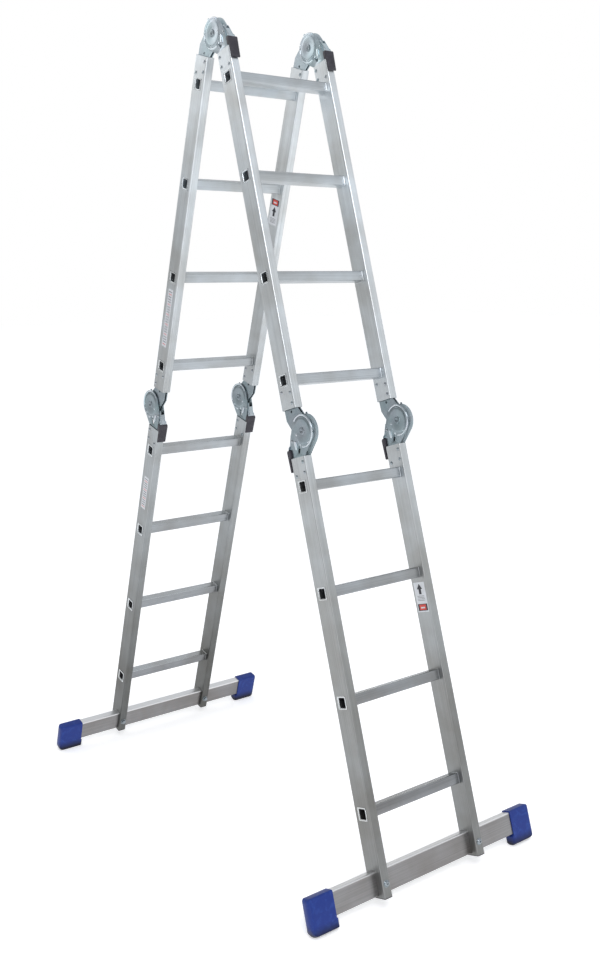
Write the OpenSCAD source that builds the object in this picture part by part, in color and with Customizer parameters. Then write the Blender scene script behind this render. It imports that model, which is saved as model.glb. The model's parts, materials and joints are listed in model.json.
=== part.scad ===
// Multi position ladder: four sections of four rungs, joined by six locking hinges.
// It stands as an A-frame, with the front ladder on the -Y side and the rear one on +Y.
// +Z is up, X runs along the rungs, and the origin is on the floor midway between the feet.

/* [Ladder] */
// Half of the angle between the two ladders as they stand
half_angle = 16.6; // [12:0.1:18]
// Overall width across the stiles
ladder_w = 356; // [320:1:420]
// Distance between rung centres
rung_pitch = 280; // [250:1:300]
// Distance from a hinge pivot to the nearest rung centre
hinge_to_rung = 141; // [136:1:150]

/* [Stiles] */
// Depth of the stile tube, front to back
stile_d = 60; // [56:1:66]
// Width of the stile tube, side to side
stile_w = 26; // [26:1:30]
// Wall of the stile tube
stile_wall = 1.4; // [1.2:0.1:1.8]
// Outer corner radius of the stile tube
stile_r = 4; // [2:0.5:6]
// Distance from a hinge pivot to the cut end of the stile
stile_gap = 64; // [62:1:66]

/* [Rungs] */
// Side of the square rung tube
rung_side = 28; // [24:1:30]
// Wall of the rung tube
rung_wall = 1.6; // [1.2:0.1:2]

/* [Hinges] */
// Radius of the outer cheek plates
cheek_r = 44; // [42:0.5:45]
// Distance from the pivot to the nearest face of the stile
pivot_offset = 7; // [6:0.5:9]
// Radius of the pivot rivet
pivot_r = 8; // [6:0.5:9]

/* [Stabiliser bars] */
// Height of the bar
bar_h = 60; // [50:1:64]
// Thickness of the bar
bar_t = 25; // [20:1:28]
// Length of bar that shows between the two feet
bar_show = 630; // [560:5:700]
// Distance from the lowest rung centre to the bar centre
rung_to_bar = 172; // [165:1:190]

/* [Feet] */
// Length of each foot beyond the bar's visible end
foot_l = 76; // [60:1:90]
// Wall of the foot around the bar
foot_wall = 3; // [2:0.5:4]
// Radius of the curved sole
sole_r = 26; // [20:1:32]

/* [Hidden] */
$fn = 48;
eps = 0.05;
big = 3000;

// Stations down a ladder, measured from the top pivot
mid_s = 2 * hinge_to_rung + 3 * rung_pitch;
lower_rung_s = mid_s + hinge_to_rung;
bar_s = lower_rung_s + 3 * rung_pitch + rung_to_bar;
stile_end_s = bar_s + bar_h / 2 + 4;

// Distances outwards from the top pivot's plane, square to the ladder
stile_n = pivot_offset + stile_d / 2;
outer_face_n = pivot_offset + stile_d;
mid_pivot_n = 2 * pivot_offset + stile_d;
bar_n = outer_face_n - 23.5 - bar_t / 2;

// Sideways places
stile_x = ladder_w / 2 - stile_w / 2;
bar_half = bar_show / 2 + foot_l - 10;

// Foot, with its curved sole set by one arc and cut flat where it meets the floor
foot_half_t = bar_t / 2 + foot_wall;
foot_top_s = bar_s - bar_h / 2 - foot_wall;
sole_s = bar_s + bar_h / 2 + 5;
sole_flat = 6;
sole_drop = sqrt(sole_r * sole_r - sole_flat * sole_flat);
foot_flare = 5;

// Height of the top pivot above the floor
top_h = sole_s * cos(half_angle) - bar_n * sin(half_angle) + sole_drop;

// Hinge stack, half thicknesses from the middle plane of the stile
core_x = 3.3;
inner_x = 5.5;
lever_x0 = 5.8;
lever_x1 = 7.3;
cheek_x0 = 7.7;
cheek_x1 = 10;
tail_x = stile_w / 2 - stile_wall - 0.2;
head_x = stile_w / 2 + eps;

// Hinge outline, as [across the stile, along the stile] from the pivot
fit_gap = 0.05;
core_r = 35.6;
tail_end = hinge_to_rung - rung_side / 2 - 3;
near_w = pivot_offset + 2;
far_w = outer_face_n - 2;
lever_pin = [51, 19];
lever_pin_r = 3;
ear_r = 7;
cheek_corner = [61, stile_gap];
slot_angle = 61;
lock_r = 4;
lock_rest = 40;
lock_travel = 8;
slot_half = 4.15;
rivet_r = 3;
spacer_r = 6.5;
rivets = [[17, 78], [17, 106], [54, 112]];
cheek_studs = [[26, 6], [-17, 30]];

// ---------------------------------------------------------------- places

function unit(a) = [cos(a), sin(a)];

// Angle, seen from a circle's centre, at which a line from point p touches it
function touch_angle(p, r, side) = atan2(p.y, p.x) + side * acos(r / norm(p));

// Points along an arc
function arc(centre, r, a0, a1, n) = [for (k = [0:n]) centre + r * unit(a0 + (a1 - a0) * k / n)];

// A ladder in its own flat frame: z runs up from the top pivot and -y is outwards
module front_ladder() {
    translate([0, 0, top_h]) rotate([-half_angle, 0, 0]) children();
}

module rear_ladder() {
    mirror([0, 1, 0]) front_ladder() children();
}

// Side -1 is the left stile and side 1 the right one
module at_stile(side) {
    translate([side * stile_x, 0, 0]) children();
}

// The half of a middle hinge that belongs to the lower section
module at_middle_lower() {
    translate([0, -mid_pivot_n, -mid_s]) mirror([0, 1, 0]) children();
}

// The half of a middle hinge that belongs to the upper section
module at_middle_upper() {
    translate([0, -mid_pivot_n, -mid_s]) rotate([180, 0, 0]) children();
}

// The place of each hinge half: the ladder, then the section, then the side
module top_front(side) { front_ladder() at_stile(side) children(); }
module top_rear(side) { rear_ladder() at_stile(side) children(); }
module front_mid_lower(side) { front_ladder() at_stile(side) at_middle_lower() children(); }
module front_mid_upper(side) { front_ladder() at_stile(side) at_middle_upper() children(); }
module rear_mid_lower(side) { rear_ladder() at_stile(side) at_middle_lower() children(); }
module rear_mid_upper(side) { rear_ladder() at_stile(side) at_middle_upper() children(); }

// An outline drawn as [across, along] from the pivot becomes a plate from x0 to x1
module hinge_plate(x0, x1) {
    translate([x0, 0, 0]) rotate([90, 0, 90]) linear_extrude(x1 - x0) rotate(180) children();
}

// The same plate on both sides of the hinge's middle plane
module hinge_plates(x0, x1) {
    hinge_plate(x0, x1) children();
    hinge_plate(-x1, -x0) children();
}

// A round bar along X at a place given as [across, along]
module x_bar(place, r, x0, x1) {
    translate([x0, -place.x, -place.y]) rotate([0, 90, 0]) cylinder(r = r, h = x1 - x0);
}

// A shallow domed head that stands on the face at x, on both sides
module domed_heads(place, r, x, rise) {
    ball = (r * r + rise * rise) / (2 * rise);
    for (side = [-1, 1]) {
        translate([side * x, -place.x, -place.y]) rotate([0, side * 90, 0])
            rotate_extrude() intersection() {
                translate([0, rise - ball]) circle(r = ball, $fn = 96);
                square([r, rise]);
            }
    }
}

module rounded_box(w, d, r) {
    square([w - 2 * r, d], center = true);
    square([w, d - 2 * r], center = true);
    for (x = [-1, 1], y = [-1, 1]) {
        translate([x * (w / 2 - r), y * (d / 2 - r)]) circle(r = r);
    }
}

// ---------------------------------------------------------------- stiles and rungs

// Plain stile tube between two stations
module stile_tube(s0, s1) {
    translate([0, -stile_n, -s1]) linear_extrude(s1 - s0) difference() {
        rounded_box(stile_w, stile_d, stile_r);
        rounded_box(stile_w - 2 * stile_wall, stile_d - 2 * stile_wall, stile_r - stile_wall);
    }
}

// Square hole for a rung, clear of the tube by a hair
module rung_hole(s) {
    hole = rung_side + 0.2;
    translate([-stile_w, -stile_n - hole / 2, -s - hole / 2]) cube([2 * stile_w, hole, hole]);
}

// Three rivet holes at a hinged end
module rivet_holes() {
    for (place = rivets) {
        x_bar(place, rivet_r + fit_gap, -stile_w, stile_w);
    }
}

module upper_stile(side) {
    color("lightsteelblue") at_stile(side) difference() {
        stile_tube(stile_gap, mid_s - stile_gap);
        for (k = [0:3]) {
            rung_hole(hinge_to_rung + k * rung_pitch);
        }
        rivet_holes();
        at_middle_upper() rivet_holes();
    }
}

module lower_stile(side) {
    window_h = bar_h + 0.4;
    window_t = bar_t + 0.4;
    color("silver") at_stile(side) difference() {
        stile_tube(mid_s + stile_gap, stile_end_s);
        for (k = [0:3]) {
            rung_hole(lower_rung_s + k * rung_pitch);
        }
        at_middle_lower() rivet_holes();
        translate([-stile_w, -bar_n - window_t / 2, -bar_s - window_h / 2])
            cube([2 * stile_w, window_t, window_h]);
        bolt_hole();
    }
}

module rung_profile(grow) {
    rounded_box(rung_side + grow, rung_side + grow, 3);
}

module x_tube(x0, x1) {
    translate([x0, 0, 0]) rotate([90, 0, 90]) linear_extrude(x1 - x0) children();
}

// One rung: a square tube whose ends are flared over the outer faces of the stiles,
// with a bead against the inner faces
module rung() {
    flange = 6;
    flange_t = 1.2;
    inner_face_x = ladder_w / 2 - stile_w - eps;
    difference() {
        union() {
            x_tube(-ladder_w / 2 - flange_t, ladder_w / 2 + flange_t) rung_profile(0);
            for (side = [-1, 1]) {
                mid = side * (ladder_w / 2 + eps + flange_t / 2);
                x_tube(mid - flange_t / 2, mid + flange_t / 2) rung_profile(flange);
                bead = side * (inner_face_x - 1);
                x_tube(bead - 1, bead + 1) rung_profile(3);
            }
        }
        x_tube(-ladder_w, ladder_w)
            rounded_box(rung_side - 2 * rung_wall, rung_side - 2 * rung_wall, 1.4);
        for (k = [-1.5:1:1.5]) {
            translate([-ladder_w / 2 + stile_w + 6, k * 6 - 1, rung_side / 2 - 0.6])
                cube([ladder_w - 2 * stile_w - 12, 2, 1]);
        }
    }
}

module rungs(first_s) {
    color("gainsboro") for (k = [0:3]) {
        translate([0, -stile_n, -first_s - k * rung_pitch]) rung();
    }
}

// ---------------------------------------------------------------- hinges

// Outline of an outer cheek: the disc, the ear for the lever and the tail
module cheek_outline() {
    ear_angle = atan2(lever_pin.y, lever_pin.x) - acos((cheek_r - ear_r) / norm(lever_pin));
    side_angle = touch_angle(cheek_corner - lever_pin, ear_r, -1);
    inner_corner = [pivot_offset + 0.5, stile_gap];
    polygon(concat(
        arc([0, 0], cheek_r, touch_angle(inner_corner, cheek_r, 1), ear_angle + 360, 56),
        arc(lever_pin, ear_r, ear_angle, side_angle, 4),
        [
            cheek_corner,
            [cheek_corner.x, tail_end],
            [near_w, tail_end],
            [near_w, stile_gap + 1],
            inner_corner
        ]
    ));
}

// Slot for the lock pin, along a radius
module lock_slot() {
    r0 = lock_rest;
    r1 = lock_rest + lock_travel + 10;
    rotate(slot_angle) {
        translate([r0, -slot_half]) square([r1 - r0, 2 * slot_half]);
        translate([r0, 0]) circle(r = slot_half);
        translate([r1, 0]) circle(r = slot_half);
    }
}

// Two cheek plates held apart by spacers in the tail, with a rolled rim on each disc
module outer_half() {
    rim_w = 4;
    rim_rise = 1.2;
    color("slategray") difference() {
        union() {
            hinge_plates(cheek_x0, cheek_x1) cheek_outline();
            for (place = rivets) {
                x_bar(place, spacer_r - 1, -cheek_x1, cheek_x1);
                x_bar(place, spacer_r, -tail_x, 0.5 - cheek_x1);
                x_bar(place, spacer_r, cheek_x1 - 0.5, tail_x);
            }
            difference() {
                x_bar([0, 0], cheek_r - 0.5, -cheek_x1 - rim_rise, cheek_x1 + rim_rise);
                x_bar([0, 0], cheek_r - rim_w, cheek_x1, cheek_x1 + 2 * rim_rise);
                x_bar([0, 0], cheek_r - rim_w, -cheek_x1 - 2 * rim_rise, -cheek_x1);
                x_bar([0, 0], cheek_r, -cheek_x1 + 1, cheek_x1 - 1);
            }
            for (place = cheek_studs) {
                x_bar(place, 3.5, -cheek_x1 - rim_rise, 0.5 - cheek_x1);
                x_bar(place, 3.5, cheek_x1 - 0.5, cheek_x1 + rim_rise);
            }
        }
        hinge_plates(cheek_x0 - 1, cheek_x1 + 3) lock_slot();
        x_bar([0, 0], pivot_r + fit_gap, -stile_w, stile_w);
        x_bar(lever_pin, lever_pin_r + fit_gap, -stile_w, stile_w);
        rivet_holes();
    }
}

// Outline of the inner half's side plates
module inner_outline() {
    plate_r = core_r - 0.8;
    shoulder = [43, 0];
    neck_side = [64, 36];
    polygon(concat(
        arc([0, 0], plate_r, 90 + 20, touch_angle(shoulder, plate_r, -1) + 360, 56),
        [
            shoulder,
            neck_side,
            [far_w, stile_gap + 1],
            [far_w, tail_end],
            [near_w, tail_end],
            [near_w, stile_gap + 1]
        ]
    ));
}

// Locking disc with a notch at each position where the pin can drop in
module notched_disc() {
    difference() {
        circle(r = core_r, $fn = 96);
        for (a = [0:45:180]) {
            rotate(a + slot_angle) translate([core_r, 0]) circle(r = slot_half);
        }
    }
}

// Two plates on the notched disc; spacers in the tail fill the stile
module inner_half() {
    peep = [36, 57];
    color("lightslategray") difference() {
        union() {
            hinge_plate(-core_x, core_x) notched_disc();
            hinge_plates(core_x - 0.5, inner_x) inner_outline();
            for (place = rivets) {
                x_bar(place, spacer_r, -tail_x, tail_x);
            }
        }
        x_bar([0, 0], pivot_r + fit_gap, -stile_w, stile_w);
        x_bar(peep, 3.5, -stile_w, stile_w);
        rivet_holes();
    }
}

// Pivot rivet: a shaft with a dished head on each cheek
module pivot_rivet() {
    color("silver") difference() {
        union() {
            x_bar([0, 0], pivot_r, -cheek_x1 - 1, cheek_x1 + 1);
            domed_heads([0, 0], pivot_r + 3, cheek_x1 + eps, 2);
        }
        x_bar([0, 0], 4.5, -stile_w, -cheek_x1 - 0.6);
        x_bar([0, 0], 4.5, cheek_x1 + 0.6, stile_w);
    }
}

// Lever back line, as [across, along], from the prong tips to the end under the pad
lever_back = [[57, 4], [71, 38], [73, 96]];

// Side wall of the pressed lever: prong, boss on the lever pin and hook on the lock pin
module lever_wall() {
    pin = lock_rest * unit(slot_angle);
    arm = pin - lever_pin;
    difference() {
        union() {
            polygon([
                [49, 1],
                lever_back[0],
                lever_back[1],
                lever_back[2],
                [69, 96],
                [69, 60],
                [60, 44],
                [48, 24],
                [46, 12]
            ]);
            translate(lever_pin) circle(r = 6.5);
            translate(lever_pin) rotate(atan2(arm.y, arm.x))
                translate([0, -5]) square([norm(arm), 10]);
            translate(pin) circle(r = 7.5);
        }
        translate(pin) circle(r = lock_r + 0.9);
    }
}

// Web that joins the two walls along the lever's back
module lever_web() {
    t = 1.8;
    top = lever_back[0] + 0.25 * (lever_back[1] - lever_back[0]);
    polygon([top, lever_back[1], lever_back[2], lever_back[2] - [t, 0],
             lever_back[1] - [t, 0], top - [t, 0]]);
}

module lever() {
    color("gainsboro") difference() {
        union() {
            hinge_plates(lever_x0, lever_x1) lever_wall();
            hinge_plate(-lever_x1, lever_x1) lever_web();
        }
        x_bar(lever_pin, lever_pin_r + fit_gap, -stile_w, stile_w);
    }
}

// Moulded grip that slips over the lower end of the lever
module lever_pad() {
    clear = 0.1;
    grip_x = stile_w / 2 + 0.5;
    pocket = lever_x1 + clear;
    color("#26262a") difference() {
        hinge_plate(-grip_x, grip_x) polygon([
            [66, 40], [73, 42], [76, 48], [77, 56], [77, 96], [75.5, 101],
            [71.5, 101], [69.6, 97], [69.6, 63], [63, 62], [62, 46]
        ]);
        hinge_plate(-pocket, pocket) polygon([
            [50, 30], [lever_back[1].x + clear - 0.5, 30], lever_back[1] + [clear, 0],
            lever_back[2] + [clear, clear], [50, 96 + clear]
        ]);
    }
}

// Lock pin, across both cheeks, at the disc end of its slot
module lock_pin() {
    color("silver") x_bar(lock_rest * unit(slot_angle), lock_r, -cheek_x1, cheek_x1);
}

// Pin that the lever turns on, headed over each cheek
module lever_pivot() {
    x_bar(lever_pin, lever_pin_r, -cheek_x1 - eps, cheek_x1 + eps);
    domed_heads(lever_pin, 5, cheek_x1 + eps, 1.6);
}

// Torsion spring on the lever pin: a close coil, with one leg under the lever's back
module lever_spring() {
    wire = 1.2;
    coil_r = 4.2;
    coil_half = 4.2;
    leg = lever_pin + [coil_r, 0];
    color("dimgray") difference() {
        union() {
            x_bar(lever_pin, coil_r + wire / 2, -coil_half, coil_half);
            translate([coil_half - wire, -leg.x, -leg.y]) rotate([14, 0, 0]) mirror([0, 0, 1])
                cylinder(d = wire, h = 20);
        }
        x_bar(lever_pin, coil_r - wire / 2, -stile_w, stile_w);
    }
}

// Rivets that hold one hinge half in the end of one stile
module end_rivets() {
    for (place = rivets) {
        x_bar(place, rivet_r, -head_x - eps, head_x + eps);
        domed_heads(place, 5.5, head_x, 2.2);
    }
}

// ---------------------------------------------------------------- bars, bolts and feet

module bolt_hole() {
    translate([0, big / 2, -bar_s]) rotate([90, 0, 0]) cylinder(r = 4.1, h = big);
}

// Through bolt with its head outwards and a nut on the other face
module bar_bolt() {
    color("silver") translate([0, 0, -bar_s]) {
        translate([0, -pivot_offset, 0]) rotate([90, 0, 0]) cylinder(r = 4, h = stile_d);
        translate([0, -outer_face_n - eps, 0]) rotate([90, 0, 0]) rotate_extrude()
            intersection() {
                translate([0, -9]) circle(r = 13, $fn = 96);
                square([7.5, 4]);
            }
        translate([0, -pivot_offset + eps, 0]) rotate([-90, 0, 0]) cylinder(r = 7, h = 4, $fn = 6);
    }
}

module stabiliser_bar() {
    color("silver") difference() {
        translate([0, -bar_n, -bar_s]) x_tube(-bar_half, bar_half) difference() {
            rounded_box(bar_t, bar_h, 3);
            rounded_box(bar_t - 3.2, bar_h - 3.2, 1.4);
        }
        for (side = [-1, 1]) {
            at_stile(side) bolt_hole();
        }
    }
}

// End view of a foot, as [outwards, down], above the sole's arc
module foot_outline() {
    top_r = 5;
    translate([-foot_half_t, foot_top_s + top_r])
        square([2 * foot_half_t, sole_s + 14 - foot_top_s - top_r]);
    translate([top_r - foot_half_t, foot_top_s]) square([2 * (foot_half_t - top_r), top_r + 1]);
    for (side = [-1, 1]) {
        translate([side * (foot_half_t - top_r), foot_top_s + top_r]) circle(r = top_r);
    }
    translate([0, sole_s]) intersection() {
        circle(r = sole_r, $fn = 128);
        square([2 * foot_half_t, 2 * sole_r], center = true);
    }
}

// Moulded foot: a socket for the bar over a thick curved sole
module foot(side) {
    seam = bar_show / 2;
    pocket_l = foot_l - 10 + 0.3;
    color("royalblue") difference() {
        front_ladder() translate([0, -bar_n, 0]) mirror([0, 0, 1]) difference() {
            x_span(side, seam - foot_flare, seam + foot_l) foot_outline();
            x_span(side, seam - foot_flare - 1, seam)
                translate([-bar_t, foot_top_s - 1]) square([2 * bar_t, bar_h + 2 * foot_wall + 3]);
            x_span(side, seam - 1, seam + pocket_l) translate([0, bar_s])
                rounded_box(bar_t + 0.3, bar_h + 0.3, 3);
        }
        translate([-big / 2, -big / 2, -40]) cube([big, big, 40]);
    }
}

// An outline drawn as [outwards, down] becomes a block between two distances on one side
module x_span(side, x0, x1) {
    mirror([side < 0 ? 1 : 0, 0, 0]) translate([x0, 0, 0])
        rotate([90, 0, 90]) linear_extrude(x1 - x0) mirror([1, 0]) children();
}

// Plug that closes the lower end of a stile
module stile_plug() {
    color("#202022") translate([0, -stile_n, -stile_end_s]) {
        translate([0, 0, -2]) linear_extrude(2 - eps) rounded_box(stile_w, stile_d, stile_r);
        translate([0, 0, -0.5]) linear_extrude(3.5) difference() {
            inner_w = stile_w - 2 * stile_wall - 0.4;
            inner_d = stile_d - 2 * stile_wall - 0.4;
            rounded_box(inner_w, inner_d, 2);
            rounded_box(inner_w - 4, inner_d - 4, 1);
        }
    }
}

// ---------------------------------------------------------------- groups

module both_stiles() {
    for (side = [-1, 1]) {
        at_stile(side) children();
    }
}

module upper_rivets() {
    color("silver") both_stiles() {
        end_rivets();
        at_middle_upper() end_rivets();
    }
}

module lower_fasteners() {
    color("silver") both_stiles() {
        at_middle_lower() {
            end_rivets();
            lever_pivot();
        }
        bar_bolt();
    }
}

module front_upper_rivets() {
    front_ladder() {
        upper_rivets();
        color("silver") both_stiles() lever_pivot();
    }
}

front_ladder() upper_stile(-1);  // front_upper_left_stile
front_ladder() upper_stile(1);  // front_upper_right_stile
front_ladder() rungs(hinge_to_rung);  // front_upper_rungs
rear_ladder() upper_stile(-1);  // rear_upper_left_stile
rear_ladder() upper_stile(1);  // rear_upper_right_stile
rear_ladder() rungs(hinge_to_rung);  // rear_upper_rungs
front_ladder() lower_stile(-1);  // front_lower_left_stile
front_ladder() lower_stile(1);  // front_lower_right_stile
front_ladder() rungs(lower_rung_s);  // front_lower_rungs
rear_ladder() lower_stile(-1);  // rear_lower_left_stile
rear_ladder() lower_stile(1);  // rear_lower_right_stile
rear_ladder() rungs(lower_rung_s);  // rear_lower_rungs

top_front(-1) outer_half();  // top_left_hinge_outer_half
top_rear(-1) inner_half();  // top_left_hinge_inner_half
top_front(1) outer_half();  // top_right_hinge_outer_half
top_rear(1) inner_half();  // top_right_hinge_inner_half
front_mid_lower(-1) outer_half();  // front_left_hinge_outer_half
front_mid_upper(-1) inner_half();  // front_left_hinge_inner_half
front_mid_lower(1) outer_half();  // front_right_hinge_outer_half
front_mid_upper(1) inner_half();  // front_right_hinge_inner_half
rear_mid_lower(-1) outer_half();  // rear_left_hinge_outer_half
rear_mid_upper(-1) inner_half();  // rear_left_hinge_inner_half
rear_mid_lower(1) outer_half();  // rear_right_hinge_outer_half
rear_mid_upper(1) inner_half();  // rear_right_hinge_inner_half

for (side = [-1, 1]) top_front(side) pivot_rivet();  // top_hinge_pivot_rivets
for (side = [-1, 1]) front_mid_lower(side) pivot_rivet();  // front_hinge_pivot_rivets
for (side = [-1, 1]) rear_mid_lower(side) pivot_rivet();  // rear_hinge_pivot_rivets

top_front(-1) lever();  // top_left_lever
top_front(-1) lever_pad();  // top_left_lever_pad
top_front(-1) lock_pin();  // top_left_lock_pin
top_front(1) lever();  // top_right_lever
top_front(1) lever_pad();  // top_right_lever_pad
top_front(1) lock_pin();  // top_right_lock_pin
front_mid_lower(-1) lever();  // front_left_lever
front_mid_lower(-1) lever_pad();  // front_left_lever_pad
front_mid_lower(-1) lock_pin();  // front_left_lock_pin
front_mid_lower(1) lever();  // front_right_lever
front_mid_lower(1) lever_pad();  // front_right_lever_pad
front_mid_lower(1) lock_pin();  // front_right_lock_pin
rear_mid_lower(-1) lever();  // rear_left_lever
rear_mid_lower(-1) lever_pad();  // rear_left_lever_pad
rear_mid_lower(-1) lock_pin();  // rear_left_lock_pin
rear_mid_lower(1) lever();  // rear_right_lever
rear_mid_lower(1) lever_pad();  // rear_right_lever_pad
rear_mid_lower(1) lock_pin();  // rear_right_lock_pin

for (side = [-1, 1]) top_front(side) lever_spring();  // top_lever_springs
for (side = [-1, 1]) front_mid_lower(side) lever_spring();  // front_lever_springs
for (side = [-1, 1]) rear_mid_lower(side) lever_spring();  // rear_lever_springs

front_upper_rivets();
rear_ladder() upper_rivets();  // rear_upper_rivets
front_ladder() lower_fasteners();  // front_lower_fasteners
rear_ladder() lower_fasteners();  // rear_lower_fasteners
front_ladder() stabiliser_bar();  // front_stabiliser_bar
rear_ladder() stabiliser_bar();  // rear_stabiliser_bar
foot(-1);  // front_left_foot
foot(1);  // front_right_foot
mirror([0, 1, 0]) foot(-1);  // rear_left_foot
mirror([0, 1, 0]) foot(1);  // rear_right_foot
front_ladder() both_stiles() stile_plug();  // front_stile_plugs
rear_ladder() both_stiles() stile_plug();  // rear_stile_plugs
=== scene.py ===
# Multi position ladder standing as an A-frame: four sections of four rungs on six locking
# hinges, with a stabiliser bar and two moulded feet at the bottom of each ladder.
import json
import math
import bmesh
import bpy
from mathutils import Matrix, Vector


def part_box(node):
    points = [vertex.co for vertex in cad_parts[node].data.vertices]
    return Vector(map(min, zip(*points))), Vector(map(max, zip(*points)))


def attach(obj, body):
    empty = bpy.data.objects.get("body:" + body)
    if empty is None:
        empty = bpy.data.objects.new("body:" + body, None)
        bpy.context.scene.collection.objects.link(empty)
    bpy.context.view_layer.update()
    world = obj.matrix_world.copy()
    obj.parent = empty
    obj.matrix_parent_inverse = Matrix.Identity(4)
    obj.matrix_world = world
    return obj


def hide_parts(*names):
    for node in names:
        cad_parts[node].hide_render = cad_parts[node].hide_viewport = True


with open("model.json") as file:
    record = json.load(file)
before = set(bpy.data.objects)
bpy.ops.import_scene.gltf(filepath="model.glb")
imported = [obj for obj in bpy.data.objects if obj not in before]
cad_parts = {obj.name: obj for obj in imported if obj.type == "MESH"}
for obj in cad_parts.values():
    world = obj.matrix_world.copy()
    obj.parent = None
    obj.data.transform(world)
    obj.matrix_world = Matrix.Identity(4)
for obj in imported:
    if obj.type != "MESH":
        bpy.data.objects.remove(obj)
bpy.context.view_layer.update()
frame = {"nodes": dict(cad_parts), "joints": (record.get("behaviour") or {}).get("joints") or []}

# ---- Studio ----------------------------------------------------------------------------
# A pale seamless floor that gives off a little light, under soft boxes: a large one high on
# the left with a narrow one below it, a lower one on the right and one behind. The bare
# metal reflects a pale room, and the camera sees plain white past the floor.
scene = bpy.context.scene
scene.view_settings.view_transform = "Standard"


def add_node(material, kind, **values):
    """A shader node with its input sockets set by name."""
    node = material.node_tree.nodes.new(kind)
    for socket, value in values.items():
        node.inputs[socket.replace("_", " ")].default_value = value
    return node


def link(material, start, end):
    """Joins an output socket to an input socket."""
    material.node_tree.links.new(start, end)


def new_material(name, roughness, metallic=0.0):
    """A named material, with its shader and the coordinates that its patterns read."""
    material = bpy.data.materials.new(name)
    material.use_nodes = True
    shader = material.node_tree.nodes["Principled BSDF"]
    shader.inputs["Roughness"].default_value = roughness
    shader.inputs["Metallic"].default_value = metallic
    return material, shader, add_node(material, "ShaderNodeTexCoord").outputs["Object"]


def two_tones(material, factor, dark, light, low=0.3, high=0.7):
    """A colour that goes from dark to light as the factor goes from low to high."""
    ramp = add_node(material, "ShaderNodeValToRGB")
    for element, place, colour in zip(ramp.color_ramp.elements, (low, high), (dark, light)):
        element.position = place
        element.color = (*colour, 1)
    link(material, factor, ramp.inputs["Fac"])
    return ramp.outputs["Color"]


floor_mesh = bmesh.new()
bmesh.ops.create_grid(floor_mesh, x_segments=1, y_segments=1, size=30)
floor_data = bpy.data.meshes.new("studio_floor")
floor_mesh.to_mesh(floor_data)
floor_mesh.free()
floor = bpy.data.objects.new("studio_floor", floor_data)
pale_floor, floor_shader, floor_place = new_material("pale_floor", 0.8)
floor_mottle = add_node(pale_floor, "ShaderNodeTexNoise", Scale=0.8)
link(pale_floor, floor_place, floor_mottle.inputs["Vector"])
link(
    pale_floor,
    two_tones(pale_floor, floor_mottle.outputs["Fac"], (0.94, 0.94, 0.94), (0.96, 0.96, 0.96)),
    floor_shader.inputs["Base Color"],
)
floor_shader.inputs["Emission Color"].default_value = (1, 1, 1, 1)
floor_shader.inputs["Emission Strength"].default_value = 0.38
floor.data.materials.append(pale_floor)
scene.collection.objects.link(floor)


def soft_box(name, place, target, size, watts, colour=(1, 1, 1)):
    """A rectangular lamp that faces its target."""
    light = bpy.data.lights.new(name, "AREA")
    light.shape = "RECTANGLE"
    light.size, light.size_y = size
    light.energy = watts
    light.color = colour
    holder = bpy.data.objects.new(name, light)
    holder.location = place
    holder.rotation_euler = (Vector(target) - Vector(place)).to_track_quat("-Z", "Y").to_euler()
    scene.collection.objects.link(holder)


soft_box("key_box", (-1.9, -3.9, 4.3), (0, 0, 1.5), (2.4, 2.4), 95, (0.98, 0.98, 1))
soft_box("fill_box", (3.8, -3.6, 2.6), (0, 0, 1.2), (3.4, 3.0), 14, (0.94, 0.97, 1))
soft_box("strip_box", (-2.9, -3.9, 1.0), (0, 0, 0.6), (0.5, 2.4), 19, (0.94, 0.96, 1))
soft_box("back_box", (-1.5, 4.2, 3.8), (0, 0, 1.4), (3.0, 2.4), 30)

room = bpy.data.worlds.new("pale_room")
scene.world = room
room.use_nodes = True
room_nodes, room_links = room.node_tree.nodes, room.node_tree.links
backdrop = room_nodes["Background"]
backdrop.inputs["Strength"].default_value = 1.0
direction = room_nodes.new("ShaderNodeTexCoord")
height = room_nodes.new("ShaderNodeSeparateXYZ")
sky = room_nodes.new("ShaderNodeValToRGB")
sky.color_ramp.elements[0].position = 0.0
sky.color_ramp.elements[0].color = (0.62, 0.62, 0.61, 1)
sky.color_ramp.elements[1].position = 0.45
sky.color_ramp.elements[1].color = (0.8, 0.82, 0.85, 1)
across_room = room_nodes.new("ShaderNodeVectorMath")
across_room.operation = "DOT_PRODUCT"
across_room.inputs[1].default_value = (0.63, -0.78, 0)
shade = room_nodes.new("ShaderNodeMapRange")
shade.inputs["From Min"].default_value = -1
shade.inputs["To Min"].default_value = 0.62
shade.inputs["To Max"].default_value = 1.08
shaded_sky = room_nodes.new("ShaderNodeVectorMath")
shaded_sky.operation = "SCALE"
seen = room_nodes.new("ShaderNodeLightPath")
white_wall = room_nodes.new("ShaderNodeMix")
white_wall.data_type = "RGBA"
white_wall.inputs["B"].default_value = (1, 1, 1, 1)
room_links.new(direction.outputs["Generated"], height.inputs["Vector"])
room_links.new(height.outputs["Z"], sky.inputs["Fac"])
room_links.new(seen.outputs["Is Camera Ray"], white_wall.inputs["Factor"])
room_links.new(direction.outputs["Generated"], across_room.inputs[0])
room_links.new(across_room.outputs["Value"], shade.inputs["Value"])
room_links.new(sky.outputs["Color"], shaded_sky.inputs[0])
room_links.new(shade.outputs["Result"], shaded_sky.inputs["Scale"])
room_links.new(shaded_sky.outputs["Vector"], white_wall.inputs["A"])
room_links.new(white_wall.outputs["Result"], backdrop.inputs["Color"])

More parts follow.
